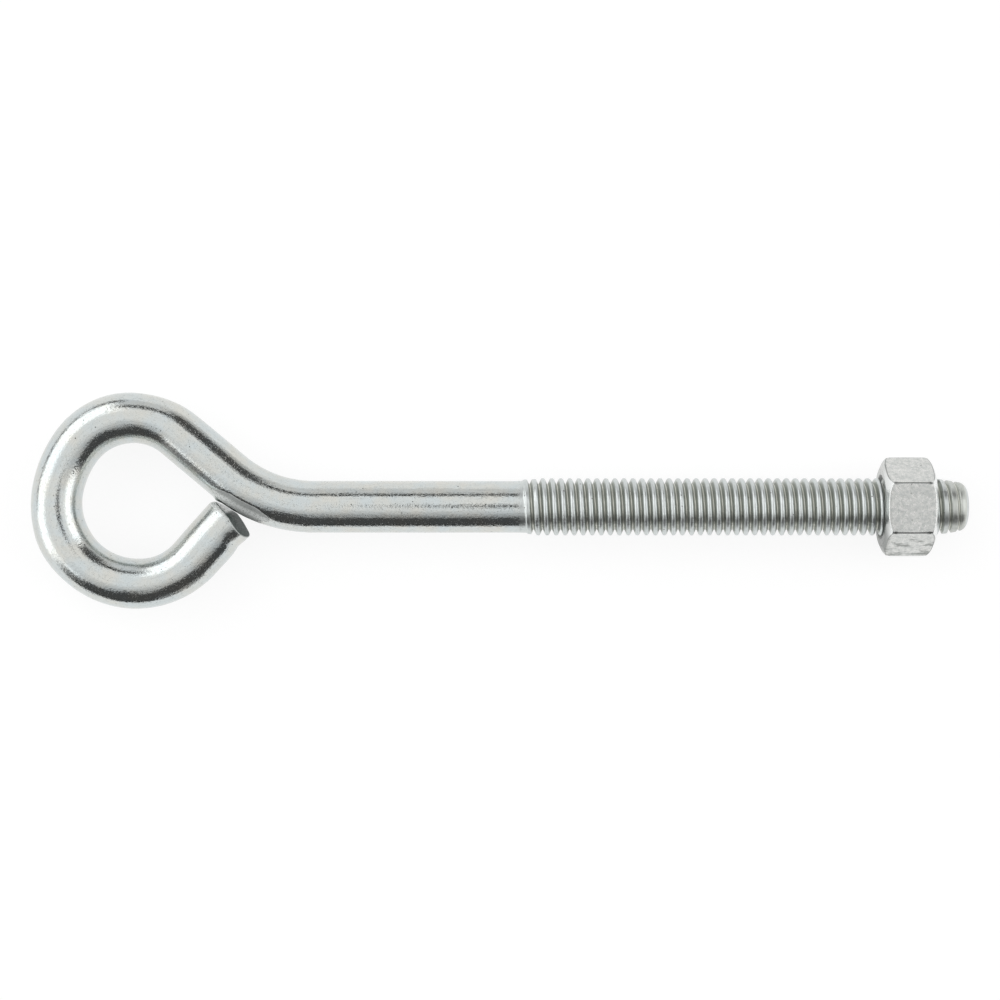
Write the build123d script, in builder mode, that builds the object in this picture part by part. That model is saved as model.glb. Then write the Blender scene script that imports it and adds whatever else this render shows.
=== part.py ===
from build123d import *
from math import cos, radians, sin, tan
import os

# A turned eye bolt with its hex nut, in millimetres.
# One steel rod is bent round into an eye at one end and rolled with a thread at the
# other, and the nut runs on that thread.
# The origin is the centre of the eye's round. +X runs along the shank to the threaded
# point, and +Z stands square to the plane of the eye.

# Whole bolt, from the far side of the eye to the point
overall_length = 202.7

# Thread, half inch with thirteen turns to the inch, as the cylinder that its crests fill
thread_diameter = 12.5
thread_pitch = 25.4 / 13
thread_length = 95.25
runout_length = 2.6

# Bends, as radii of the rod's centre line and the angles that they turn through
eye_radius = 17.3
side_radius = 23.6
side_turn = 22.8
crown_radius = 15.25
crown_turn = 95.3
neck_run_length = 14.1
neck_radius = 28.9
neck_turn = 40.0

# Sheared end of the rod, tucked up under the neck
end_gap = 0.6
end_skew = 2.0
shear_angle = 7.0
end_rounding = 0.5

# Threaded point
taper_length = 7.2
point_rounding = 2.3

# Nut, and how it sits on the thread
hexagon_sides = 6
nut_across_flats = 18.7
nut_thickness = 11.25
nut_face_diameter = 16.8
nut_chamfer_angle = 30.0
nut_corner_rounding = 0.04
countersink_depth = 0.75
thread_clearance = 0.05
nut_turn = 1.4
turns_past_nut = 3.8

# A rolled thread rises as far above the plain rod as it sinks below it, so the rod is
# as thick as the thread's pitch diameter. The point is turned down to the thread's root.
pitch_height = 0.3248
thread_depth = 0.6134
thread_radius = thread_diameter / 2
rod_radius = thread_radius - pitch_height * thread_pitch
root_radius = thread_radius - thread_depth * thread_pitch

point_x = overall_length - eye_radius - rod_radius
thread_start_x = point_x - thread_length

# The eye's round turns through what the other bends leave: the shank then lies along X,
# and the end of the rod meets the neck within end_skew of square.
eye_start_angle = 90.0 - neck_turn + crown_turn + side_turn
eye_turn = 270.0 - crown_turn - side_turn - end_skew

# Centre line of the rod, from the eye's round back over its crown and down the neck
with BuildLine() as rod_line:
    eye_arc = CenterArc((0, 0), eye_radius, eye_start_angle, eye_turn)
    side_arc = JernArc(eye_arc @ 0, (eye_arc % 0) * -1, side_radius, -side_turn)
    crown_arc = JernArc(side_arc @ 1, side_arc % 1, crown_radius, -crown_turn)
    neck_run = Line(crown_arc @ 1, crown_arc @ 1 + (crown_arc % 1) * neck_run_length)
    neck_bend = JernArc(neck_run @ 1, neck_run % 1, neck_radius, neck_turn)
    shank_y = (neck_bend @ 1).Y
    Line(neck_bend @ 1, (thread_start_x, shank_y))

shank_plane = Plane((0, shank_y, 0))
shank_axis = Axis((0, shank_y, 0), (1, 0, 0))

# The straight tail of the rod stops where the nearer corner of its end is end_gap away
# from the neck. Its sheared face leans back towards +Z.
tail_start = eye_arc @ 1
tail_direction = eye_arc % 1
neck_to_eye = Vector(-sin(radians(neck_turn)), -cos(radians(neck_turn)))
eye_depth = (tail_start - neck_run @ 1).dot(neck_to_eye)
corner_reach = rod_radius * (1 + sin(radians(abs(end_skew))))
tail_length = (eye_depth - corner_reach - end_gap) / cos(radians(end_skew))
tail_end = tail_start + tail_direction * tail_length
lean = radians(shear_angle)
shear_plane = Plane(tail_end, z_dir=tail_direction * cos(lean) + Vector(0, 0, sin(lean)))

with BuildPart() as eye_bolt:
    # Straight tail with its sheared end
    with BuildSketch(Plane(tail_start, z_dir=tail_direction)):
        Circle(rod_radius)
    extrude(amount=tail_length + rod_radius * tan(lean))
    split(bisect_by=shear_plane, keep=Keep.BOTTOM)
    sheared_face = eye_bolt.faces().sort_by_distance(tail_end)[0]
    fillet(sheared_face.edges(), radius=end_rounding)

    # Eye, neck and plain shank, bent from the same rod
    with BuildSketch(Plane(tail_start, z_dir=tail_direction)):
        Circle(rod_radius)
    sweep(path=rod_line.line)

    # Thread, with its run-out onto the rod, and the tapered and rounded point
    with BuildSketch(shank_plane) as thread_section:
        with BuildLine():
            Polyline(
                (thread_start_x, 0),
                (thread_start_x, rod_radius),
                (thread_start_x + runout_length, thread_radius),
                (point_x - taper_length, thread_radius),
                (point_x, root_radius),
                (point_x, 0),
                close=True,
            )
        make_face()
        point_corner = thread_section.vertices().sort_by_distance((point_x, shank_y + root_radius, 0))[0]
        fillet(point_corner, radius=point_rounding)
    revolve(axis=shank_axis)
eye_bolt.part.label = "eye_bolt"

# Nut: a hex bar turned with a chamfer on both faces, bored to run on the thread
nut_back_x = point_x - turns_past_nut * thread_pitch
nut_face_x = nut_back_x - nut_thickness
bore_radius = thread_radius + thread_clearance
sink_radius = bore_radius + countersink_depth
face_radius = nut_face_diameter / 2
half_side_angle = 180.0 / hexagon_sides
corner_radius = nut_across_flats / 2 / cos(radians(half_side_angle)) - nut_corner_rounding
chamfer_depth = (corner_radius - face_radius) * tan(radians(nut_chamfer_angle))

with BuildPart() as hex_nut:
    with BuildSketch(Plane((nut_face_x, shank_y, 0), x_dir=(0, 0, 1), z_dir=(1, 0, 0))):
        RegularPolygon(
            nut_across_flats / 2, hexagon_sides, major_radius=False, rotation=half_side_angle + nut_turn
        )
    extrude(amount=nut_thickness)
    with BuildSketch(shank_plane):
        with BuildLine():
            Polyline(
                (nut_face_x, sink_radius),
                (nut_face_x + countersink_depth, bore_radius),
                (nut_back_x - countersink_depth, bore_radius),
                (nut_back_x, sink_radius),
                (nut_back_x, face_radius),
                (nut_back_x - chamfer_depth, corner_radius),
                (nut_face_x + chamfer_depth, corner_radius),
                (nut_face_x, face_radius),
                close=True,
            )
        make_face()
    revolve(axis=shank_axis, mode=Mode.INTERSECT)
hex_nut.part.label = "hex_nut"

os.makedirs("parts", exist_ok=True)
export_step(eye_bolt.part, "parts/eye_bolt.step")
export_step(hex_nut.part, "parts/hex_nut.step")
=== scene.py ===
import math

import bmesh
import bpy
import numpy as np
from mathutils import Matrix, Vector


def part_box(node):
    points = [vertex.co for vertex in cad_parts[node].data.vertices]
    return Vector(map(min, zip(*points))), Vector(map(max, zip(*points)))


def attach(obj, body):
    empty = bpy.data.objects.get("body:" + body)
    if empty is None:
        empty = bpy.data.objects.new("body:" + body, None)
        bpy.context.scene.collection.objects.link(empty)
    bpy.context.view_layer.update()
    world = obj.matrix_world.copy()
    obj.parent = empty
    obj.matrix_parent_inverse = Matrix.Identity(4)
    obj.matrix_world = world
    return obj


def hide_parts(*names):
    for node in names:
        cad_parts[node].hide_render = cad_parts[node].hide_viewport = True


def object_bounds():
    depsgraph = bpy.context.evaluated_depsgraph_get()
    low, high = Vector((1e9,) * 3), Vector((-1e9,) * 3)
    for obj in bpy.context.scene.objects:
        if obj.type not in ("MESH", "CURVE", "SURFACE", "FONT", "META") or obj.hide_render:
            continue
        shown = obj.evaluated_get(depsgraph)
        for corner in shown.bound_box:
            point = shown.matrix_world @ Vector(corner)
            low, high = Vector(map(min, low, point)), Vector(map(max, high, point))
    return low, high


# A zinc plated eye bolt with its nut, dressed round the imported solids.
# Lengths in the settings are millimetres and angles are degrees, unless a note says otherwise.

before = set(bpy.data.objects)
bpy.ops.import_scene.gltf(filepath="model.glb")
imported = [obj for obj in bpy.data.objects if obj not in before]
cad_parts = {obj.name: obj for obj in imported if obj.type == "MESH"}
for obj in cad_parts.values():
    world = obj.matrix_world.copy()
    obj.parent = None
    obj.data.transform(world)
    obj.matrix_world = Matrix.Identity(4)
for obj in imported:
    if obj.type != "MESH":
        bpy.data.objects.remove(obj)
cadLow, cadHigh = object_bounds()
boltLow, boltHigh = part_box("eye_bolt")
nutLow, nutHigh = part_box("hex_nut")
mm = 0.001
turn = 2 * math.pi
print("frame loaded", [round(v / mm, 2) for v in (*cadLow, *cadHigh)])


def smoothStep(a, b, v):
    # 0 at a, 1 at b and beyond, and 3u^2 - 2u^3 of the share u between them
    u = np.clip((v - a) / (b - a), 0, 1)
    return u * u * (3 - 2 * u)


def smoothMax(a, b, k):
    # the larger of two heights, with the corner between them filled over a difference of k
    return np.maximum(a, b) + np.maximum(k - np.abs(a - b), 0) ** 2 / (4 * k)


def smoothMin(a, b, k):
    # the smaller of two heights, with the corner between them rounded off in the same way
    return -smoothMax(-a, -b, k)


def bell(offset, width):
    # 1 in the middle, falling as e to the minus square of the offset over the width
    return np.exp(-(offset / width) ** 2)


def facing(around, direction, power=1):
    # the cosine of the angle to a direction, raised to a power, and nought on the far side
    return np.clip(np.cos(around - math.radians(direction)), 0, 1) ** power


def ripple(u, v, seed):
    # a gentle uneven wave of two parameters: three sines whose directions and phases come from the seed
    rng = np.random.default_rng(seed)
    total = 0
    for size in (1.0, 0.6, 0.4):
        direction, phase, stretch = rng.uniform(0, turn, 3)
        angle = (u * math.cos(direction) + v * math.sin(direction)) * (1 + stretch / turn) / size
        total = total + size * np.sin(angle + phase)
    return total / 2


def gridFaces(rows, columns, step=0):
    # quads of a grid whose rows close on themselves; round a whole turn a row joins the one step rows on
    i, j = np.meshgrid(np.arange(rows - 1 - step), np.arange(columns), indexing="ij")
    wrapped = (j + 1 == columns) * step
    right = (j + 1) % columns
    corners = [
        i * columns + j,
        (i + wrapped) * columns + right,
        (i + 1 + wrapped) * columns + right,
        (i + 1) * columns + j,
    ]
    return np.stack(corners, -1).reshape(-1, 4)


meshing = {
    "mergeWithin": 0.0012,  # doubles at the seams and the poles
    "shortestEdge": 0.0005,
}


def makePiece(name, points, faces, attributes):
    # a mesh from points in millimetres, closed at its seams, with values per point for its material
    mesh = bpy.data.meshes.new(name)
    mesh.from_pydata((points * mm).tolist(), [], faces.tolist())
    for key, values in attributes.items():
        kind = "FLOAT_VECTOR" if values.ndim == 2 else "FLOAT"
        layer = mesh.attributes.new(key, kind, "POINT")
        layer.data.foreach_set("vector" if values.ndim == 2 else "value", values.astype(np.float32).ravel())
    work = bmesh.new()
    work.from_mesh(mesh)
    bmesh.ops.remove_doubles(work, verts=work.verts, dist=meshing["mergeWithin"] * mm)
    bmesh.ops.dissolve_degenerate(work, edges=work.edges, dist=meshing["shortestEdge"] * mm)
    bmesh.ops.triangulate(work, faces=work.faces, quad_method="SHORT_EDGE")
    work.to_mesh(mesh)
    work.free()
    mesh.validate()
    mesh.polygons.foreach_set("use_smooth", np.ones(len(mesh.polygons), bool))
    piece = bpy.data.objects.new(name, mesh)
    bpy.context.scene.collection.objects.link(piece)
    print(name, len(mesh.polygons), "triangles")
    return piece


# The thread is shared by the bolt and the bore of the nut.
thread = {
    "pitch": 25.4 / 13,
    "radius": boltHigh.z / mm,  # crests
    "depth": 1.33,
    "crown": 3.8,  # the rolled crest falls as this many millimetres times the square of the share of a pitch
    "flankStart": 0.185,  # share of a pitch at which the flank's line would meet the crests
    "flankFall": 4.9,  # millimetres per pitch
    "crestBlend": 0.3,
    "rootBlend": 0.2,
    "firstCrest": 84.085,  # x of the first crest where it passes the +Y side
    "axisY": (nutLow.y + nutHigh.y) / 2 / mm,
}


def threadPhase(x, around):
    # turns along the right-hand helix: it grows with x and falls with the angle from +Y towards +Z
    return (x - thread["firstCrest"]) / thread["pitch"] - around / turn


def threadDepth(phase):
    # depth below the crests: a rolled, domed crest, then a straight steep flank, then a narrow root
    fromCrest = np.abs(phase - np.round(phase))
    dome = thread["crown"] * fromCrest ** 2
    flank = thread["flankFall"] * (fromCrest - thread["flankStart"])
    fall = smoothMax(dome, flank, thread["crestBlend"])
    return smoothMin(fall, thread["depth"], thread["rootBlend"])


def roundAxis(x, around, radius):
    # a turned shape on the thread's axis: x, and the radius times the cosine and the sine of the angle
    return np.stack([x, thread["axisY"] + radius * np.cos(around), radius * np.sin(around)], -1)


bolt = {
    "eyeRadius": 17.3,
    "sideRadius": 23.6,
    "sideTurn": 22.8,
    "crownRadius": 15.25,
    "crownTurn": 95.3,
    "neckRun": 14.1,
    "neckRadius": 28.9,
    "neckTurn": 40.0,
    "endSkew": 2.0,
    "tailLength": 11.646,
    "rimRadius": 0.25,
    "rimRolled": 1.25,  # extra rounding where the shear bit in, most at rolledAngle
    "rolledAngle": 155.0,
    "endPinch": 0.42,  # dent behind the corner that the shear drew out
    "pinchPlace": 3.4,
    "pinchLength": 1.6,
    "pinchAngle": 17.2,
    "ovality": 0.022,  # how much the eye's bends narrow the rod in the plane of the eye
    "ovalFrom": (6, 20),
    "ovalTo": (60, 80),
    # where the bending tools left the rod thick or thin: place, half length, outer side, inner side
    "uneven": [
        (84.5, 6.0, -0.38, -0.02),
        (45.5, 5.0, 0.34, 0.08),
        (20.0, 6.5, 0.0, -0.24),
    ],
    "shear": {
        "angle": 7.0,  # the face leans back towards +Z
        "leanShare": 0.8,  # of that angle in the middle
        "leanGrowth": 0.13,  # more of it for each millimetre outwards
        "ridge": 0.5,  # how far the middle stands forward, as two planes that meet in a blunt ridge
        "innerSlope": -0.045,
        "outerSlope": 0.26,
        "ridgeBlend": 0.2,
        "setBack": 0.1,
        "follows": 7.0,  # length of rod behind the face that is drawn along with it
        "tearing": 0.05,
        "tearScale": (1.7, 1.1),  # waves across and up the torn face
        "smoothRim": 0.3,  # the face's edge isn't torn
        "burnished": 0.62,  # the inner part was rubbed brighter by the blade
        "burnishFrom": -0.9,
        "burnishTo": -1.5,
    },
    "press": {  # the flat that the bending tool pressed into the neck
        "depth": 0.42,
        "middle": 111.6,
        "half": 4.8,
        "fade": 2.4,
        "angle": 140.0,
        "edgeBlend": 0.05,
        "frostDepth": (0.02, 0.07),  # the plating is frosted where the flat is this far below the round
        "frostFade": 0.25,
        "frostFadeAngles": (138.0, 162.0),
        "underside": (150.0, 160.0, 200.0, 215.0),  # frosted as well past its middle
        "undersideShare": 0.9,
        "undersideFrom": (-1.5, 1.0),
        "lightest": 3.05,  # height above the rod's middle, away from which the flat is painted darker as painted shade
        "shadeFrom": 0.3,
        "shadeTo": 0.95,
        "burr": 0.3,
        "burrBefore": 4.6,
        "burrLength": 0.6,
        "burrSharpness": 12,
    },
    "rimPaintedHighlight": 0.9,  # painted highlight: the sheared end's rim is given the frosted mark's pale finish where it faces up
    "lipBefore": 1.1,  # pitches between the smooth rod's end and the first crest
    "lipHeight": 0.32,
    "lipLeads": (-0.3, -0.08),  # turns over which the lip rises
    "lipRun": 0.12,  # turns over which the groove then sinks
    "risingRadius": 5.98,  # of the thread's first whole turn
    "envelopeBlend": 0.05,
    "taperLength": 7.2,
    "taperBlend": 0.06,
    "tipRadius": 5.0515,
    "tipRounding": 2.3,
    "tipStart": 0.9,  # where the grid of the thread hands over to the grid of the point
    "tipDish": 0.12,
    "columns": 96,
    "faceRings": 8,
    "rimRings": 7,
    "bendStep": 0.62,
    "shankStep": 1.5,
    "threadRows": (0.07, 0.14, 0.2, 0.26, 0.42, 0.462),  # each side of the crest, in pitches
}

pointX = boltHigh.x / mm
rodRadius = -boltLow.y / mm - bolt["eyeRadius"]
eyeEnd = 360 - bolt["neckTurn"] - bolt["endSkew"]  # angle at which the eye's round runs into the tail
bends = [  # radius and turn of each stretch from the sheared end to the shank, or length and nought
    (bolt["tailLength"], 0.0),
    (bolt["eyeRadius"], -(270 - bolt["crownTurn"] - bolt["sideTurn"] - bolt["endSkew"])),
    (bolt["sideRadius"], -bolt["sideTurn"]),
    (bolt["crownRadius"], -bolt["crownTurn"]),
    (bolt["neckRun"], 0.0),
    (bolt["neckRadius"], bolt["neckTurn"]),
]
stretches = [  # the same as lengths and radians
    (size * abs(math.radians(angle)) if angle else size, math.radians(angle))
    for size, angle in bends
]
bentLength = sum(length for length, _ in stretches)
stretches.append((2 * pointX, 0.0))  # the shank, longer than it needs to be


def rodPath(along):
    # centre line at a distance from the sheared end: each stretch adds its chord, a straight
    # run or an arc whose heading grows evenly, and gives the heading that the next one starts with
    outward = np.array([math.cos(math.radians(eyeEnd)), math.sin(math.radians(eyeEnd))])
    tail = np.array([-outward[1], outward[0]])
    centre = np.zeros(along.shape + (2,)) + outward * bolt["eyeRadius"] + tail * bolt["tailLength"]
    start = math.radians(eyeEnd - 90)
    heading = np.full(along.shape, start)
    done = 0.0
    for length, angle in stretches:
        u = np.clip(along - done, 0, length)
        if angle:
            rate = angle / length
            centre[..., 0] += (np.sin(start + rate * u) - math.sin(start)) / rate
            centre[..., 1] += (math.cos(start) - np.cos(start + rate * u)) / rate
            heading += rate * u
        else:
            centre[..., 0] += u * math.cos(start)
            centre[..., 1] += u * math.sin(start)
        start += angle
        done += length
    return centre, heading


shankStart = rodPath(np.array([bentLength]))[0][0, 0]  # x at which the shank is straight
threadStart = thread["firstCrest"] - bolt["lipBefore"] * thread["pitch"]
threadEnd = pointX - bolt["tipStart"]
threadFrom = bentLength + thread["firstCrest"] - thread["pitch"] - shankStart  # distance along the rod
taperFall = thread["radius"] - bolt["tipRadius"]
taperAngle = math.atan2(taperFall, bolt["taperLength"])
tipFace = bolt["tipRadius"] - bolt["tipRounding"] * math.tan(math.radians(45) - taperAngle / 2)


def tipRadiusAt(x):
    # the turned point: a taper, then a round of fixed radius that meets the flat end
    rounding = bolt["tipRounding"]
    taper = thread["radius"] + taperFall * (pointX - bolt["taperLength"] - x) / bolt["taperLength"]
    back = np.clip(x - (pointX - rounding), 0, rounding)
    arc = tipFace + np.sqrt(rounding ** 2 - back ** 2)
    return np.where(back > 0, np.minimum(taper, arc), taper)


def threadLead(x, around):
    # turns from the lip at which the thread begins: the phase, closed up over the far half turn
    return threadPhase(x, around) + smoothStep(math.pi, turn, around)


def threadedRadius(x, around):
    # the thread's profile, held under the envelope of its first turns and of the tapered point
    lead = threadLead(x, around)
    groove = threadDepth(threadPhase(x, around)) * smoothStep(0, bolt["lipRun"], lead)
    turns = (x - thread["firstCrest"]) / thread["pitch"]
    lip = rodRadius + bolt["lipHeight"]
    rising = np.interp(turns, [0.5, 1.0, 1.5], [lip, bolt["risingRadius"], thread["radius"]])
    flare = rodRadius + bolt["lipHeight"] * smoothStep(*bolt["lipLeads"], lead)
    envelope = np.where(lead < 0, flare, rising)
    begun = smoothMin(thread["radius"] - groove, envelope, bolt["envelopeBlend"])
    return smoothMin(begun, tipRadiusAt(x), bolt["taperBlend"])


def asStraight(x, around, radius):
    # where the same metal would lie on a rod that was never bent, from the sheared end at nought
    return np.stack([x - shankStart + bentLength, radius * np.cos(around), radius * np.sin(around)], -1)


def boltPart(points, faces, straight, **shares):
    # one grid of the bolt, with the values that its material reads at each point
    attributes = {"straightened": straight * mm}
    for key in ("cutFace", "grooveDepth", "pressMark", "pressShade"):
        attributes[key] = shares.get(key, 0) + np.zeros(points.shape[:2])
    return points, faces, attributes


def pressedRadius(s, t, r):
    # the flat: the radius is held to a plane at the press's own angle, whose depth fades in and
    # out along the rod, and a burr stands before it; also gives the share that is frosted, and
    # the share of painted shade, darker towards the flat's two long edges
    press = bolt["press"]
    fromMiddle = s - press["middle"]
    share = smoothStep(press["half"] + press["fade"], press["half"] - press["fade"], np.abs(fromMiddle))
    toPress = np.cos(t - math.radians(press["angle"]))
    plane = (rodRadius - press["depth"] * share) / np.maximum(toPress, 0.2)
    flat = np.where(share > 0, smoothMin(r, plane, press["edgeBlend"]), r)
    fade = press["frostFade"] * smoothStep(*np.radians(press["frostFadeAngles"]), t)
    frosted = smoothStep(*press["frostDepth"], r - flat) * (1 - fade)
    begin, full, still, end = np.radians(press["underside"])
    under = smoothStep(begin, full, t) * smoothStep(end, still, t)
    under = under * smoothStep(*press["undersideFrom"], fromMiddle)
    frosted = np.maximum(frosted, press["undersideShare"] * share * under)
    aside = np.abs(flat * np.sin(t) - press["lightest"])
    paintedShade = frosted * smoothStep(press["shadeFrom"], press["shadeTo"], aside)
    burr = bell(fromMiddle + press["burrBefore"], press["burrLength"])
    burr = burr * facing(t, 180, press["burrSharpness"])
    return flat + press["burr"] * burr, frosted, paintedShade


def shearedFace(s, across, up, r):
    # how far the end stands forward: two leaning planes that meet in a blunt ridge, fading out
    # along the rod behind them, with a torn surface on the face itself
    shear = bolt["shear"]
    lean = math.tan(math.radians(shear["angle"])) * (shear["leanShare"] + shear["leanGrowth"] * across)
    slope = np.where(across < 0, shear["innerSlope"], shear["outerSlope"])
    ridge = smoothMax(shear["ridge"] - slope * across, -shear["ridge"], shear["ridgeBlend"])
    torn = (r < rodRadius - shear["smoothRim"]) * (s < shear["smoothRim"])
    waves = ripple(across * shear["tearScale"][0], up * shear["tearScale"][1], 4)
    nearEnd = 1 - smoothStep(0, shear["follows"], s)
    return (lean * up - ridge + shear["setBack"]) * nearEnd - shear["tearing"] * waves * torn


def rodGrid():
    # tail, eye, neck and shank: rings whose centres follow rodPath, starting with the rings of the
    # sheared face and of its rim; every change to the round is made on the radius, ring by ring
    columns = bolt["columns"]
    around = np.arange(columns) * turn / columns
    rimSize = bolt["rimRadius"] + bolt["rimRolled"] * facing(around, bolt["rolledAngle"], 2)
    swing = np.radians(np.linspace(90, 0, bolt["rimRings"]))[:, None]
    faceRadius = np.linspace(0, 1, bolt["faceRings"] + 1)[:-1, None] * (rodRadius - rimSize)
    rimRadius = rodRadius - rimSize * (1 - np.cos(swing))
    rimAlong = rimSize * (1 - np.sin(swing))
    rimEnd = bolt["rimRadius"] + bolt["rimRolled"] + 0.1
    shankEnd = bentLength + threadStart - shankStart
    bent = np.linspace(rimEnd, bentLength, int(bentLength / bolt["bendStep"]))
    shank = np.linspace(bentLength, shankEnd, int((shankEnd - bentLength) / bolt["shankStep"]))[1:]
    rest = np.concatenate([bent, shank])[:, None] + 0 * around
    s = np.concatenate([0 * faceRadius, rimAlong, rest])
    r = np.concatenate([faceRadius, rimRadius, rodRadius + 0 * rest])
    t = around + 0 * s
    # the corner that the shear drew out, with a dent behind it
    dent = facing(t, bolt["pinchAngle"], 3) * bell(s - bolt["pinchPlace"], bolt["pinchLength"])
    r = r - bolt["endPinch"] * dent
    r, frosted, paintedShade = pressedRadius(s, t, r)
    for place, half, outerChange, innerChange in bolt["uneven"]:
        r = r + bell(s - place, half) * (outerChange * facing(t, 0) + innerChange * facing(t, 180))
    inEye = smoothStep(*bolt["ovalFrom"], s) * (1 - smoothStep(*bolt["ovalTo"], s))
    across = r * np.cos(t) * (1 - bolt["ovality"] * inEye)
    up = r * np.sin(t)
    centre, heading = rodPath(s)
    ahead = shearedFace(s, across, up, r)
    points = np.stack([
        centre[..., 0] + ahead * np.cos(heading) - across * np.sin(heading),
        centre[..., 1] + ahead * np.sin(heading) + across * np.cos(heading),
        up,
    ], -1)
    face = np.ones(bolt["faceRings"])
    rim = np.linspace(0, 1, bolt["rimRings"])
    behind = np.zeros(len(rest))
    shear = bolt["shear"]
    burnished = shear["burnished"] * smoothStep(shear["burnishFrom"], shear["burnishTo"], across)
    cut = np.concatenate([face, 1 - rim, behind])[:, None] * (1 - burnished)
    rimLine = np.concatenate([0 * face, np.sin(math.pi * rim), behind])[:, None]
    # painted highlight along the rim's upward side, carried with the frosted share
    frosted = np.maximum(frosted, bolt["rimPaintedHighlight"] * rimLine * smoothStep(0, 0.5, np.sin(t)))
    straight = np.stack([s, across, up], -1)
    faces = gridFaces(len(s), columns)
    return boltPart(points, faces, straight, cutFace=cut, pressMark=frosted, pressShade=paintedShade)


def threadGrid():
    # the thread as one strip: a row keeps its phase, so x grows with the angle round the helix, and
    # is held at the two flat rings that close the strip; the radius is threadedRadius
    around = np.arange(bolt["columns"]) * turn / bolt["columns"]
    shares = np.array(bolt["threadRows"])
    offsets = np.sort(np.concatenate([[0.0, 0.5], shares, 1 - shares]))
    first = math.floor((threadStart - thread["firstCrest"]) / thread["pitch"]) - 1
    turns = int((threadEnd - threadStart) / thread["pitch"]) + 4
    phases = np.concatenate([first + n + offsets for n in range(turns)])
    phase, t = np.meshgrid(phases, around, indexing="ij")
    x = np.clip(thread["firstCrest"] + thread["pitch"] * (phase + t / turn), threadStart, threadEnd)
    r = threadedRadius(x, t)
    below = np.clip((thread["radius"] - r) / thread["depth"], 0, 1) * smoothStep(0, 0.3, threadLead(x, t))
    faces = gridFaces(len(phases), bolt["columns"], len(offsets))
    return boltPart(roundAxis(x, t, r), faces, asStraight(x, t, r), grooveDepth=below)


def tipGrid():
    # the point: the rest of its round as a quarter circle, then the flat end, a little dished
    around = np.arange(bolt["columns"]) * turn / bolt["columns"]
    rounding = bolt["tipRounding"]
    swing = np.linspace(math.asin((rounding - bolt["tipStart"]) / rounding), math.pi / 2, 9)
    ringX = np.concatenate([pointX - rounding * (1 - np.sin(swing)), np.full(5, pointX)])
    ringRadius = np.concatenate([tipFace + rounding * np.cos(swing), np.linspace(tipFace, 0, 6)[1:]])
    x, t = np.meshgrid(ringX, around, indexing="ij")
    r = ringRadius[:, None] + 0 * t
    r[0] = threadedRadius(x[0], t[0])
    dished = 1 - smoothStep(0, tipFace + 1, r)
    x = x - bolt["tipDish"] * dished * (1 + ripple(r * np.cos(t), r * np.sin(t), 9))
    return boltPart(roundAxis(x, t, r), gridFaces(len(ringX), bolt["columns"]), asStraight(x, t, r))


def joinParts(parts):
    # the grids of one piece end to end: the faces of each count on from the points before them
    points, faces, count = [], [], 0
    for grid, quads, _ in parts:
        points.append(grid.reshape(-1, 3))
        faces.append(quads + count)
        count += len(points[-1])
    attributes = {}
    for key, values in parts[0][2].items():
        width = values.shape[2:]
        attributes[key] = np.concatenate([part[2][key].reshape(-1, *width) for part in parts])
    return np.concatenate(points), np.concatenate(faces), attributes


boltPiece = makePiece("zinc_eye_bolt", *joinParts([rodGrid(), threadGrid(), tipGrid()]))
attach(boltPiece, "bolt")
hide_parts("eye_bolt")


nut = {
    "acrossFlats": 18.7,
    "faceRadius": 8.42,
    "chamferAngle": 30.0,
    "turn": 1.4,
    "cornerRound": 0.34,  # of the six long edges, as a difference of radius
    "cornerFlare": 1.0,  # how much rounder those edges are next to the faces
    "chamferCurl": 1.7,  # above 1 the chamfer's arcs run straighter and turn at their ends
    "edgeRound": 0.22,
    "sinkEdge": 0.08,
    "sinkRadius": 7.1,
    "boreRadius": 5.5,
    "ridgeBlend": 0.1,
    "threadGap": 0.06,
    "longWear": 0.6,  # rubbed share of the long edges
    "shadedSideWear": 0.12,  # of the edges of the faces, which are rubbed bright; more of it on top is painted light, and this least share on the sides is painted shade
    "lineHalf": 0.21,  # half width of the grey line along a long edge, and how it widens at its ends
    "lineFlare": 0.4,
    "lineSoft": 0.06,
    "lineShare": 0.85,
    "arcShare": 0.75,  # of the same grey along the chamfer's arcs on the sides
    "nearFaceShadeFrom": 1.2,  # painted shade next to the near face, most on the -Y side: least and most of it, and the sides that have it
    "nearFaceShadeTo": 0.3,
    "nearFaceShadeLeast": 0.14,
    "nearFaceShadeMost": 0.8,
    "nearFaceShadeSides": (-0.1, -0.7),
    "columnCrowding": 0.86,
    "sideColumns": 20,
    "cornerRows": 5,
    "flatRows": 13,
    "boreRows": 110,
}


def cornerRows(before, here, after, size):
    # rows round a corner: a quadratic curve from a point a little before it to one a little after
    ends = []
    for other in (before, after):
        length = np.hypot(other[0] - here[0], other[1] - here[1])
        share = np.minimum(size / length, 0.45)
        ends.append([here[n] + (other[n] - here[n]) * share for n in (0, 1)])
    u = np.linspace(0, 1, nut["cornerRows"])[:, None]
    return [ends[0][n] * (1 - u) ** 2 + here[n] * 2 * u * (1 - u) + ends[1][n] * u ** 2 for n in (0, 1)]


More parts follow.
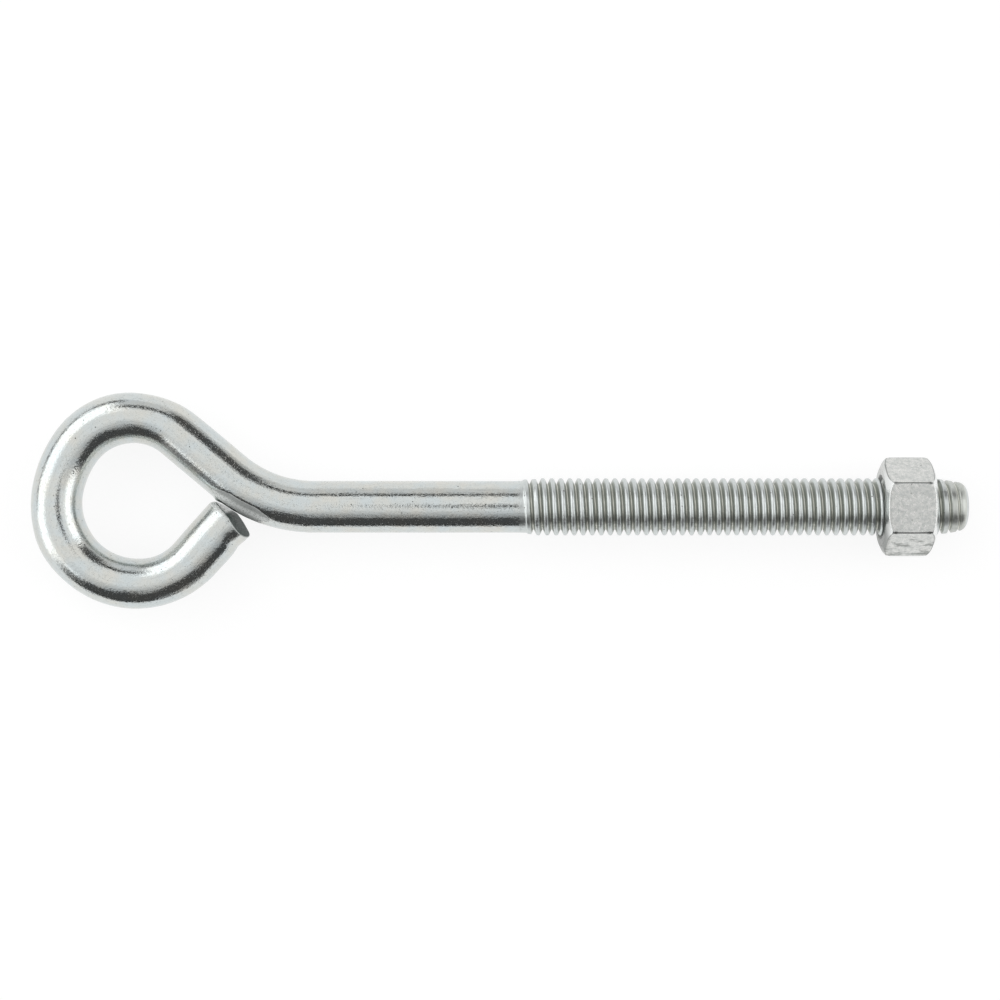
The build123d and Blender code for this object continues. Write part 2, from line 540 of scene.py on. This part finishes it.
def nutGrid():
    # rings round the axis, from the near face over the flats to the far face and back through the
    # bore, each a radius and an x for every angle; columns crowd towards the six corners, because
    # their angles are an even count plus a sine that is steepest between the corners
    side = np.arange(nut["sideColumns"]) / nut["sideColumns"]
    spread = side + nut["columnCrowding"] * np.sin(turn * side) / turn
    around = (spread[None, :] + np.arange(6)[:, None]).ravel() * turn / 6
    t = around + math.pi / 2 + math.radians(nut["turn"])
    same = 0 * t
    # hexagon: the nearer of the two flats next to each direction, with the corner between them rounded
    flatRadius = nut["acrossFlats"] / 2
    fromFlat = np.abs((around + turn / 12) % (turn / 6) - turn / 12)
    near = flatRadius / np.cos(fromFlat)
    far = flatRadius / np.cos(turn / 6 - fromFlat)
    toCorner = far - near  # nought on the corner
    hexRadius = smoothMin(near, far, nut["cornerRound"] * (1 + nut["cornerFlare"]))
    cornerHeight = hexRadius.max() - flatRadius
    curl = ((hexRadius - flatRadius) / cornerHeight) ** nut["chamferCurl"]
    chamferSlope = math.tan(math.radians(nut["chamferAngle"]))
    chamfer = (flatRadius - nut["faceRadius"] + cornerHeight * curl) * chamferSlope
    longWear = nut["longWear"] * smoothStep(0.45, 0.1, toCorner)
    # the face edges are rubbed bright, more on top as painted light and less on the sides as painted shade
    wearLitOnTop = nut["shadedSideWear"] + (1 - nut["shadedSideWear"]) * smoothStep(0.2, 0.85, np.sin(t))
    arcLine = nut["arcShare"] * smoothStep(0.86, 0.8, np.sin(t)) * smoothStep(0.2, 0.6, toCorner)

    # the six corners of the section from the near face's bore to the far one's: x, radius,
    # rounding, wear with its painted top light before and after, and the grey line along it
    faceX = nutLow.x / mm
    backX = nutHigh.x / mm
    sink = nut["sinkRadius"] + same
    face = nut["faceRadius"] + same
    corners = [
        (faceX + same, sink, nut["sinkEdge"], 0, 0, 0),
        (faceX + same, face, nut["edgeRound"], 0, wearLitOnTop, 0),
        (faceX + chamfer, hexRadius, nut["edgeRound"], wearLitOnTop, longWear, arcLine),
        (backX - chamfer, hexRadius, nut["edgeRound"], longWear, wearLitOnTop, arcLine),
        (backX + same, face, nut["edgeRound"], wearLitOnTop, 0, 0),
        (backX + same, sink, nut["sinkEdge"], 0, 0, 0),
    ]
    sinkDepth = nut["sinkRadius"] - nut["boreRadius"]
    bore = nut["boreRadius"] + same
    faceBore = (faceX + sinkDepth + same, bore)
    backBore = (backX - sinkDepth + same, bore)
    ring = [faceBore, *[corner[:2] for corner in corners], backBore]
    groups = []  # x, radius, rubbed share with its painted top light, and dark share of each group of rings
    for n, (_, _, size, litWearIn, litWearOut, line) in enumerate(corners):
        u = np.linspace(0, 1, nut["cornerRows"])[:, None]
        wornAndLit = litWearIn + (litWearOut - litWearIn) * u + same
        rows = cornerRows(ring[n], ring[n + 1], ring[n + 2], size)
        groups.append((*rows, wornAndLit, line * 4 * u * (1 - u) + same))
        if n == 2:  # the flats follow the near chamfer
            share = np.linspace(0, 1, nut["flatRows"] + 2)[1:-1, None]
            towardsEnds = np.abs(2 * share - 1)
            x = faceX + chamfer + (backX - faceX - 2 * chamfer) * share
            rounding = nut["cornerRound"] * (1 + nut["cornerFlare"] * towardsEnds ** 3)
            half = nut["lineHalf"] + nut["lineFlare"] * towardsEnds ** 8
            dark = nut["lineShare"] * smoothStep(half + nut["lineSoft"], half - nut["lineSoft"], toCorner)
            groups.append((x, smoothMin(near, far, rounding), longWear + 0 * x, dark))
    # the bore's thread is the bolt's, a little wider, cut off at the bore and at the countersinks
    x = np.linspace(backX - 0.1, faceX + 0.1, nut["boreRows"])[:, None] + same
    groove = thread["radius"] + nut["threadGap"] - threadDepth(threadPhase(x, t % turn))
    sunk = nut["sinkRadius"] - np.minimum(x - faceX, backX - x)
    ridge = smoothMax(groove, nut["boreRadius"], nut["ridgeBlend"])
    groups.append((x, smoothMax(ridge, sunk, nut["sinkEdge"]), 0 * x, 0 * x))
    x, r, wornAndLit, dark = [np.concatenate([group[k] for group in groups] + [groups[0][k][:1]]) for k in range(4)]

    # painted shade: the countersinks and the bore darkened to grey, and a strip next to the near face
    # darkened, most on the -Y side
    inBore = smoothStep(nut["sinkRadius"] + 0.02, nut["sinkRadius"] - 0.25, r)
    nearFaceShaded = smoothStep(*nut["nearFaceShadeSides"], np.cos(t))
    nearFaceShaded = nut["nearFaceShadeLeast"] + (nut["nearFaceShadeMost"] - nut["nearFaceShadeLeast"]) * nearFaceShaded
    nearFaceShade = nearFaceShaded * smoothStep(faceX + nut["nearFaceShadeFrom"], faceX + nut["nearFaceShadeTo"], x)
    greyed = np.maximum(np.maximum(inBore, nearFaceShade), dark)
    points = roundAxis(x, t, r).reshape(-1, 3)
    faces = gridFaces(len(x), len(t))[:, ::-1]
    return points, faces, {"greyShare": greyed.ravel(), "rubbedAndTopLit": wornAndLit.ravel()}


nutPiece = makePiece("zinc_hex_nut", *nutGrid())
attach(nutPiece, "nut")
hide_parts("hex_nut")


def colour(code):
    # an sRGB hex value as the linear colour that the shaders work in
    parts = [int(code[n:n + 2], 16) / 255 for n in (1, 3, 5)]
    return [v / 12.92 if v <= 0.04045 else ((v + 0.055) / 1.055) ** 2.4 for v in parts] + [1.0]


def addNode(tree, kind, values={}, links={}, **settings):
    # one node with its settings, its socket values and what feeds it
    node = tree.nodes.new(kind)
    for key, value in settings.items():
        setattr(node, key, value)
    for key, value in values.items():
        node.inputs[key].default_value = value
    for key, source in links.items():
        tree.links.new(source, node.inputs[key])
    return node


def newTree(name):
    # an empty material and its node tree
    material = bpy.data.materials.new(name)
    material.use_nodes = True
    material.node_tree.nodes.clear()
    return material, material.node_tree


def pitMask(tree, vector, finish):
    # above nought inside small round pits: a random size for each cell, less the distance to its middle
    values = {"Scale": 1000 / finish["pitSpacing"]}
    cells = addNode(tree, "ShaderNodeTexVoronoi", values, {"Vector": vector}).outputs
    chance = addNode(tree, "ShaderNodeSeparateColor", {}, {"Color": cells["Color"]}).outputs["Red"]
    values = {"From Min": finish["pitless"], "From Max": 1.0, "To Max": finish["pitSize"]}
    size = addNode(tree, "ShaderNodeMapRange", values, {"Value": chance}).outputs[0]
    links = {0: size, 1: cells["Distance"]}
    return addNode(tree, "ShaderNodeMath", {}, links, operation="SUBTRACT").outputs[0]


def layered(tree, plate, layers):
    # colours laid over each other: what each follows, where it begins and is full, its share there,
    # and its colour
    for follows, begins, full, most, tone in layers:
        values = {"From Min": begins, "From Max": full, "To Max": most}
        share = addNode(tree, "ShaderNodeMapRange", values, {"Value": follows}).outputs[0]
        links = {"Factor": share, "A": plate}
        plate = addNode(tree, "ShaderNodeMix", {"B": colour(tone)}, links, data_type="RGBA").outputs["Result"]
    return plate


# Bright zinc electroplate over cold drawn steel: it mirrors the room, and the drawn
# steel below leaves a fine grain, faint lines along the rod and small dark pits.
# The grain and the draw lines are a few hundredths of a millimetre on the real rod,
# and are drawn ten times coarser so that they show.
zinc = {
    "cool": "#CDD4D5",
    "warm": "#D4D4CE",
    "grainTone": "#A9ADAA",
    "speckTone": "#979B98",
    "lineTone": "#B4B8B6",
    "crest": "#D1D6D5",
    # the flanks darker, as duller plating and painted shade in the grooves; the root painted lighter as a
    # painted highlight
    "flank": "#C1C4BF",
    "root": "#F4F4EC",
    "pressed": "#EEF1EF",
    # painted shade on the pressed flat, darker towards its two long edges
    "pressShade": "#4A4E4C",
    "fleck": "#979C99",
    "pit": "#4C4E4B",
    "sheared": "#36443F",
    "roughness": 0.06,
    "cloudRoughness": 0.05,
    "threadRoughness": 0.22,  # the rolled crests are rougher than the rod
    "grooveRoughness": 0.04,
    "speckRoughness": 0.27,
    "pressRoughness": 0.45,
    "shearedRoughness": 0.4,
    "pressScatter": 0.85,  # frosted plating and bare oxide scatter more than they mirror
    "shearedScatter": 0.8,
    "grain": 0.5,
    "speck": 0.34,
    "drawLine": 0.3,
    "drawStretch": 0.06,  # the lines' scale along the rod
    "cloud": 5.0,
    "pitSpacing": 1.2,
    "pitSize": 0.17,  # of the spacing
    "pitless": 0.55,  # share of the cells without a pit
    "grainBump": 0.035,
    "lineBump": 0.014,
}


def brightZinc():
    material, tree = newTree("bright_zinc_on_drawn_steel")
    straight = addNode(tree, "ShaderNodeAttribute", attribute_name="straightened").outputs["Vector"]
    groove = addNode(tree, "ShaderNodeAttribute", attribute_name="grooveDepth").outputs["Fac"]
    cut = addNode(tree, "ShaderNodeAttribute", attribute_name="cutFace").outputs["Fac"]
    press = addNode(tree, "ShaderNodeAttribute", attribute_name="pressMark").outputs["Fac"]
    shade = addNode(tree, "ShaderNodeAttribute", attribute_name="pressShade").outputs["Fac"]
    values = {"Scale": (zinc["drawStretch"], 1, 1)}
    lines = addNode(tree, "ShaderNodeMapping", values, {"Vector": straight}).outputs[0]
    pattern = {}
    for key, vector, detail in (
        ("grain", straight, 3.0),
        ("speck", straight, 1.0),
        ("drawLine", lines, 3.0),
        ("cloud", straight, 3.0),
    ):
        values = {"Scale": 1000 / zinc[key], "Detail": detail, "Roughness": 0.6}
        pattern[key] = addNode(tree, "ShaderNodeTexNoise", values, {"Vector": vector}).outputs["Fac"]
    pits = pitMask(tree, straight, zinc)
    lengthwise = addNode(tree, "ShaderNodeSeparateXYZ", {}, {0: straight}).outputs["X"]
    values = {"From Min": threadFrom * mm, "From Max": (threadFrom + 1) * mm}
    threaded = addNode(tree, "ShaderNodeMapRange", values, {"Value": lengthwise}).outputs[0]
    # the mark's edge and its flecks follow the grain
    links = {0: pattern["grain"], 2: press}
    ragged = addNode(tree, "ShaderNodeMath", {1: 0.8}, links, operation="MULTIPLY_ADD").outputs[0]
    values = {"From Min": 0.8, "From Max": 0.95}
    marked = addNode(tree, "ShaderNodeMapRange", values, {"Value": ragged}).outputs[0]
    links = {0: marked, 1: pattern["speck"]}
    flecks = addNode(tree, "ShaderNodeMath", {}, links, operation="MULTIPLY").outputs[0]

    values = {"From Min": 0.36, "From Max": 0.66}
    cloudy = addNode(tree, "ShaderNodeMapRange", values, {"Value": pattern["cloud"]}).outputs[0]
    values = {"A": colour(zinc["cool"]), "B": colour(zinc["warm"])}
    plate = addNode(tree, "ShaderNodeMix", values, {"Factor": cloudy}, data_type="RGBA").outputs["Result"]
    plate = layered(tree, plate, [
        (pattern["grain"], 0.54, 0.8, 0.4, zinc["grainTone"]),
        (pattern["speck"], 0.6, 0.74, 0.3, zinc["speckTone"]),
        (pattern["drawLine"], 0.5, 0.75, 0.35, zinc["lineTone"]),
        (threaded, 0.0, 1.0, 1.0, zinc["crest"]),
        # the flanks darker, as duller plating and painted shade in the grooves; the root painted lighter as a
        # painted highlight
        (groove, 0.12, 0.5, 1.0, zinc["flank"]),
        (groove, 0.92, 1.0, 1.0, zinc["root"]),
        (pits, 0.0, 0.05, 0.9, zinc["pit"]),
        # the frosted flat, and the painted highlight along the rim's upper side
        (marked, 0.0, 1.0, 1.0, zinc["pressed"]),
        # painted shade: the pressed flat darkened towards its two long edges
        (shade, 0.0, 1.0, 0.5, zinc["pressShade"]),
        (flecks, 0.52, 0.66, 0.6, zinc["fleck"]),
        (cut, 0.0, 1.0, 1.0, zinc["sheared"]),
    ])

    # roughness: the plating's own, a little more in its clouds, and more for each kind of place
    values = {"From Min": 0.3, "From Max": 0.75, "To Min": zinc["roughness"]}
    values["To Max"] = zinc["roughness"] + zinc["cloudRoughness"]
    rough = addNode(tree, "ShaderNodeMapRange", values, {"Value": pattern["cloud"]}).outputs[0]
    values = {"From Min": 0.55, "From Max": 0.68}
    specked = addNode(tree, "ShaderNodeMapRange", values, {"Value": pattern["speck"]}).outputs[0]
    for share, more in (
        (specked, zinc["speckRoughness"]),
        (groove, zinc["grooveRoughness"]),
        (threaded, zinc["threadRoughness"]),
        (marked, zinc["pressRoughness"]),
        (cut, zinc["shearedRoughness"]),
    ):
        links = {0: share, 2: rough}
        rough = addNode(tree, "ShaderNodeMath", {1: more}, links, operation="MULTIPLY_ADD").outputs[0]
    values = {1: -zinc["pressScatter"], 2: 1.0}
    metal = addNode(tree, "ShaderNodeMath", values, {0: marked}, operation="MULTIPLY_ADD").outputs[0]
    scatter = {1: -zinc["shearedScatter"]}
    links = {0: cut, 2: metal}
    metal = addNode(
        tree, "ShaderNodeMath", scatter, links, operation="MULTIPLY_ADD", use_clamp=True
    ).outputs[0]

    values = {"Distance": zinc["grainBump"] * mm}
    bump = addNode(tree, "ShaderNodeBump", values, {"Height": pattern["grain"]}).outputs[0]
    values = {"Distance": zinc["lineBump"] * mm}
    bump = addNode(tree, "ShaderNodeBump", values, {"Height": pattern["drawLine"], "Normal": bump}).outputs[0]
    links = {"Base Color": plate, "Metallic": metal, "Roughness": rough, "Normal": bump}
    shader = addNode(tree, "ShaderNodeBsdfPrincipled", {}, links).outputs[0]
    addNode(tree, "ShaderNodeOutputMaterial", {}, {"Surface": shader})
    return material


# Zinc electroplate on a cold formed nut, tumbled before plating: satin flats with cloudy
# mottling, small pits and dents, and edges that the tumbling rubbed bright, with the face edges
# painted lighter on top as painted light and darker on the sides as painted shade. The bore and
# a strip next to the near face are painted grey as painted shade.
# The grit is a few hundredths of a millimetre on the real nut, and is drawn coarser so that it shows.
satin = {
    "plate": "#E1E1DE",
    "cloudy": "#C4C7C5",
    "dusty": "#ACAFAC",
    "pit": "#7C7F7B",
    "rubbedAndTopLit": "#EFF1F0",
    "scuff": "#858885",
    "grey": "#646764",  # painted shade in the bore and next to the near face, and the grey lines along the edges
    "roughness": 0.3,
    "smoother": 0.06,  # between the clouds of mottling, and rougher in them
    "rougher": 0.08,
    "rubbedRoughness": 0.16,
    "mottle": 0.75,
    "grit": 0.3,
    "scuffLength": 1.6,
    "scuffStretch": 0.34,
    "scuffTop": -5.0,  # Y below which the flat that lay on the conveyor is scuffed
    "scuffLeast": 0.42,
    "pitSpacing": 1.5,
    "pitSize": 0.15,  # of the spacing
    "pitless": 0.4,  # share of the cells without a pit
    "mottleBump": 0.055,
    "gritBump": 0.018,
}


def satinZinc():
    material, tree = newTree("satin_zinc_on_formed_steel")
    where = addNode(tree, "ShaderNodeTexCoord").outputs["Object"]
    grey = addNode(tree, "ShaderNodeAttribute", attribute_name="greyShare").outputs["Fac"]
    rubbedAndTopLit = addNode(tree, "ShaderNodeAttribute", attribute_name="rubbedAndTopLit").outputs["Fac"]
    values = {"Scale": (satin["scuffStretch"], 1, 1)}
    along = addNode(tree, "ShaderNodeMapping", values, {"Vector": where}).outputs[0]
    pattern = {}
    for key, vector, detail in (("mottle", where, 4.0), ("grit", where, 3.0), ("scuffLength", along, 4.0)):
        values = {"Scale": 1000 / satin[key], "Detail": detail, "Roughness": 0.68}
        pattern[key] = addNode(tree, "ShaderNodeTexNoise", values, {"Vector": vector}).outputs["Fac"]
    pits = pitMask(tree, where, satin)
    side = addNode(tree, "ShaderNodeSeparateXYZ", {}, {0: where}).outputs["Y"]
    values = {"From Min": satin["scuffTop"] * mm, "From Max": (satin["scuffTop"] - 2) * mm}
    values.update({"To Min": satin["scuffLeast"], "To Max": 1.0})
    scuffed = addNode(tree, "ShaderNodeMapRange", values, {"Value": side}).outputs[0]
    links = {0: pattern["scuffLength"], 1: scuffed}
    scuff = addNode(tree, "ShaderNodeMath", {}, links, operation="MULTIPLY").outputs[0]

    values = {"From Min": 0.38, "From Max": 0.64}
    mottled = addNode(tree, "ShaderNodeMapRange", values, {"Value": pattern["mottle"]}).outputs[0]
    values = {"A": colour(satin["plate"]), "B": colour(satin["cloudy"])}
    plate = addNode(tree, "ShaderNodeMix", values, {"Factor": mottled}, data_type="RGBA").outputs["Result"]
    plate = layered(tree, plate, [
        (pattern["grit"], 0.5, 0.72, 0.7, satin["dusty"]),
        (scuff, 0.53, 0.64, 0.85, satin["scuff"]),
        (pits, 0.0, 0.05, 1.0, satin["pit"]),
        # rubbed edges, with the face edges lighter on top as painted light
        (rubbedAndTopLit, 0.0, 1.0, 1.0, satin["rubbedAndTopLit"]),
        # painted shade in the bore and next to the near face, and the grey edge lines
        (grey, 0.0, 1.0, 1.0, satin["grey"]),
    ])

    values = {"From Min": 0.3, "From Max": 0.7, "To Min": satin["roughness"] - satin["smoother"]}
    values["To Max"] = satin["roughness"] + satin["rougher"]
    dull = addNode(tree, "ShaderNodeMapRange", values, {"Value": pattern["mottle"]}).outputs[0]
    links = {"Factor": rubbedAndTopLit, "A": dull}
    rough = addNode(tree, "ShaderNodeMix", {"B": satin["rubbedRoughness"]}, links).outputs["Result"]
    values = {"Distance": satin["mottleBump"] * mm}
    bump = addNode(tree, "ShaderNodeBump", values, {"Height": pattern["mottle"]}).outputs[0]
    values = {"Distance": satin["gritBump"] * mm}
    bump = addNode(tree, "ShaderNodeBump", values, {"Height": pattern["grit"], "Normal": bump}).outputs[0]
    links = {"Base Color": plate, "Roughness": rough, "Normal": bump}
    shader = addNode(tree, "ShaderNodeBsdfPrincipled", {"Metallic": 1.0}, links).outputs[0]
    addNode(tree, "ShaderNodeOutputMaterial", {}, {"Surface": shader})
    return material


boltPiece.data.materials.append(brightZinc())
nutPiece.data.materials.append(satinZinc())
print("materials made")

# White studio paper, lit evenly: it is seen almost white, and only the object's shadow darkens it.
floor = {
    "size": 3000.0,
    "below": 0.02,  # under the nut
    "paper": "#7C7C7C",  # the share of the floor's white that the object's shadow can darken
    "glow": 0.84,
}


def makeFloor():
    # a flat sheet, four corners as far from the middle each way
    height = nutLow.z / mm - floor["below"]
    half = floor["size"]
    corners = np.array([[-1, -1], [1, -1], [1, 1], [-1, 1]]) * half
    corners = np.column_stack((corners, np.full(4, height)))
    mesh = bpy.data.meshes.new("paper_floor")
    mesh.from_pydata((corners * mm).tolist(), [], [(0, 1, 2, 3)])
    sheet = bpy.data.objects.new("paper_floor", mesh)
    bpy.context.scene.collection.objects.link(sheet)
    material, tree = newTree("white_studio_paper")
    path = addNode(tree, "ShaderNodeLightPath").outputs
    seen = path["Is Camera Ray"]
    for ray in ("Is Glossy Ray", "Is Transmission Ray"):
        seen = addNode(tree, "ShaderNodeMath", {}, {0: seen, 1: path[ray]}, operation="MAXIMUM").outputs[0]
    strength = addNode(tree, "ShaderNodeMath", {1: floor["glow"]}, {0: seen}, operation="MULTIPLY").outputs[0]
    glow = addNode(tree, "ShaderNodeEmission", {"Color": (1, 1, 1, 1)}, {"Strength": strength}).outputs[0]
    paper = addNode(tree, "ShaderNodeBsdfDiffuse", {"Color": colour(floor["paper"])}).outputs[0]
    both = addNode(tree, "ShaderNodeAddShader", {}, {0: paper, 1: glow}).outputs[0]
    addNode(tree, "ShaderNodeOutputMaterial", {}, {"Surface": both})
    mesh.materials.append(material)


makeFloor()
print("floor made")

# The room as the metal sees it: a soft white dome with the gaps between its lights.
# Azimuth is from +X towards +Y, zenith is from straight up.
studio = {
    "dome": 0.97,
    "panels": [  # azimuth, half width, zenith, half height, softness, brightness
        (-80, 55, 42, 20, 18, 0.58),
        (95, 70, 73, 15, 2.5, 0.77),
        (5, 60, 88, 6, 4, 0.56),
        (-140, 4, 54, 6, 3, 1.45),
        (-135, 6.5, 77.5, 16.5, 3, 0.23),
        (-108, 24, 72, 23, 1.5, 0.075),
        (-70, 17, 62, 24, 2, 0.075),
        (-106, 8, 44, 7, 2, 0.075),
        (-42, 13, 71, 22.5, 2, 0.075),
        (88, 24, 54.5, 5.5, 1.5, 0.02),
        (140, 31, 58, 21, 5, 1.7),
        (188, 23, 67, 20, 6, 1.7),
        (6, 32, 62, 15, 4, 1.7),
        (34, 8, 57, 14, 4, 1.7),
        (57, 15, 58.5, 18.5, 3, 0.09),
        (142, 40, 89, 4.5, 1, 0.04),
        (111, 11, 87, 6, 1.5, 0.06),
    ],
}


def makeStudio():
    # the light from a direction: the dome's, and where both of its angles are within a panel's
    # half sizes the panel's, with a soft step across each edge
    world = bpy.data.worlds.new("studio")
    bpy.context.scene.world = world
    world.use_nodes = True
    tree = world.node_tree
    tree.nodes.clear()
    direction = addNode(tree, "ShaderNodeTexCoord").outputs["Generated"]
    axes = addNode(tree, "ShaderNodeSeparateXYZ", {}, {0: direction}).outputs
    zenith = addNode(tree, "ShaderNodeMath", {}, {0: axes["Z"]}, operation="ARCCOSINE").outputs[0]
    links = {0: axes["Y"], 1: axes["X"]}
    azimuth = addNode(tree, "ShaderNodeMath", {}, links, operation="ARCTAN2").outputs[0]
    # a plain white room for the camera, and for what glossy and clear things show of it,
    # with the panels over it in reflections alone
    path = addNode(tree, "ShaderNodeLightPath").outputs
    links = {0: path["Is Camera Ray"], 1: path["Is Transmission Ray"]}
    shown = addNode(tree, "ShaderNodeMath", {}, links, operation="MAXIMUM").outputs[0]
    links = {0: shown, 1: path["Is Glossy Ray"]}
    whole = addNode(tree, "ShaderNodeMath", {}, links, operation="MAXIMUM").outputs[0]
    values = {"A": studio["dome"], "B": 1.0}
    level = addNode(tree, "ShaderNodeMix", values, {"Factor": whole}).outputs["Result"]
    for panelAzimuth, halfWidth, panelZenith, halfHeight, softness, brightness in studio["panels"]:
        values = {1: math.radians(panelAzimuth)}
        aside = addNode(tree, "ShaderNodeMath", values, {0: azimuth}, operation="SUBTRACT").outputs[0]
        values = {1: math.pi, 2: -math.pi}
        aside = addNode(tree, "ShaderNodeMath", values, {0: aside}, operation="WRAP").outputs[0]
        values = {1: math.radians(panelZenith)}
        above = addNode(tree, "ShaderNodeMath", values, {0: zenith}, operation="SUBTRACT").outputs[0]
        within = []
        for offset, half in ((aside, halfWidth), (above, halfHeight)):
            size = addNode(tree, "ShaderNodeMath", {}, {0: offset}, operation="ABSOLUTE").outputs[0]
            edge = {"From Min": math.radians(half + softness), "From Max": math.radians(half - softness)}
            step = addNode(tree, "ShaderNodeMapRange", edge, {"Value": size}, interpolation_type="SMOOTHSTEP")
            within.append(step.outputs[0])
        links = {0: within[0], 1: within[1]}
        share = addNode(tree, "ShaderNodeMath", {}, links, operation="MULTIPLY").outputs[0]
        links = {"Factor": share, "A": level}
        level = addNode(tree, "ShaderNodeMix", {"B": brightness}, links).outputs["Result"]
    plain = addNode(tree, "ShaderNodeMix", {"B": 1.0}, {"Factor": shown, "A": level}).outputs["Result"]
    back = addNode(tree, "ShaderNodeBackground", {"Color": (1, 1, 1, 1)}, {"Strength": plain}).outputs[0]
    addNode(tree, "ShaderNodeOutputWorld", {}, {"Surface": back})


makeStudio()
print("studio lit by", len(studio["panels"]), "panels")

# Dark things round the table that only reflections see: the underside of the camera and
# its stand overhead, and the rail along the near edge of the table.
cards = {  # middle, then half of the card along each of its two sides
    "camera_underside": ((126.0, 24.0, 535.0), (70.0, 0.0, 0.0), (0.0, 66.0, 0.0)),
    "table_rail": ((-22.0, -130.0, -1.6), (127.0, 0.0, 0.0), (0.0, 0.0, 7.7)),
}
cardCorners = 32
cardSquareness = 0.2


def makeCards():
    # a rectangle with round corners: the cosine and the sine of an angle, each raised to a small
    # power and given its sign again, go along the two sides
    around = (np.arange(cardCorners) + 0.5) * turn / cardCorners
    east, north = [np.sign(v) * np.abs(v) ** cardSquareness for v in (np.cos(around), np.sin(around))]
    material, tree = newTree("black_anodised_housing")
    shader = addNode(tree, "ShaderNodeEmission", {"Color": (0.02, 0.02, 0.02, 1)}).outputs[0]
    addNode(tree, "ShaderNodeOutputMaterial", {}, {"Surface": shader})
    for name, (middle, first, second) in cards.items():
        points = np.array(middle) + np.outer(east, first) + np.outer(north, second)
        mesh = bpy.data.meshes.new(name)
        mesh.from_pydata((points * mm).tolist(), [], [list(range(cardCorners - 1, -1, -1))])
        mesh.materials.append(material)
        card = bpy.data.objects.new(name, mesh)
        card.visible_camera = False
        card.visible_diffuse = False
        card.visible_shadow = False
        bpy.context.scene.collection.objects.link(card)


makeCards()
print("cards hung")

camera = {
    "height": 533.0,
    "lens": 88.56,
    "sensor": 36.0,
    "aimX": 0.3,  # from the middle of the solids' box
    "aimY": 0.78,
}


def makeCamera():
    # straight above the bolt, looking down
    data = bpy.data.cameras.new("camera")
    data.lens = camera["lens"]
    data.sensor_width = camera["sensor"]
    data.clip_start = 0.01
    data.clip_end = 20.0
    eye = bpy.data.objects.new("camera", data)
    bpy.context.scene.collection.objects.link(eye)
    middle = (cadLow + cadHigh) / 2
    eye.location = (middle.x + camera["aimX"] * mm, camera["aimY"] * mm, camera["height"] * mm)
    bpy.context.scene.camera = eye


makeCamera()
bpy.context.scene.view_settings.view_transform = "Standard"
print("camera placed")
